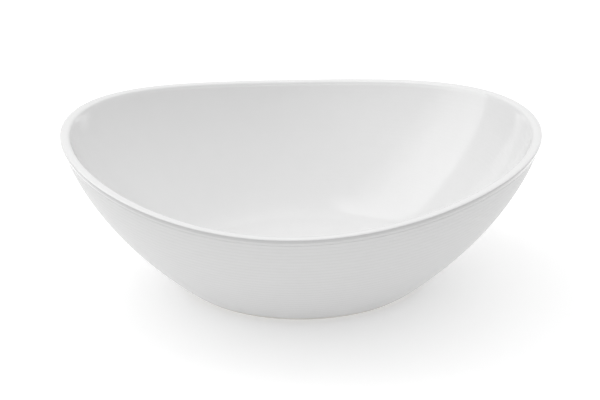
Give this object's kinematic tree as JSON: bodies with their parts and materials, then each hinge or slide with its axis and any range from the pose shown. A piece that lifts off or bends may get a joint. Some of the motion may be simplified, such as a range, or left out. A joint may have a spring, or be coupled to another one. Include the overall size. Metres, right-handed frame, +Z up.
{
  "type": "serving bowl",
  "caption": "Round porcelain serving bowl whose rim rises at two opposite ends, glossy inside and finely ribbed satin outside, standing on a low foot ring.",
  "frame": {"origin": "centre of the circle on which the foot ring stands, on the table", "axes": "+Z up; +X towards one raised end of the rim, +Y towards one low side"},
  "size_m": [0.2492, 0.2492, 0.083],
  "materials": {
    "clay": "matte",
    "gloss_glaze": "gloss",
    "satin_glaze": "satin"
  },
  "bodies": {
    "root": {"clay_floor": "clay", "clay_belly": "clay", "clay_rim": "clay", "foot_ring": "clay", "inner_glaze": "gloss_glaze", "outer_glaze": "satin_glaze", "base_glaze": "gloss_glaze"}
  },
  "joints": []
}
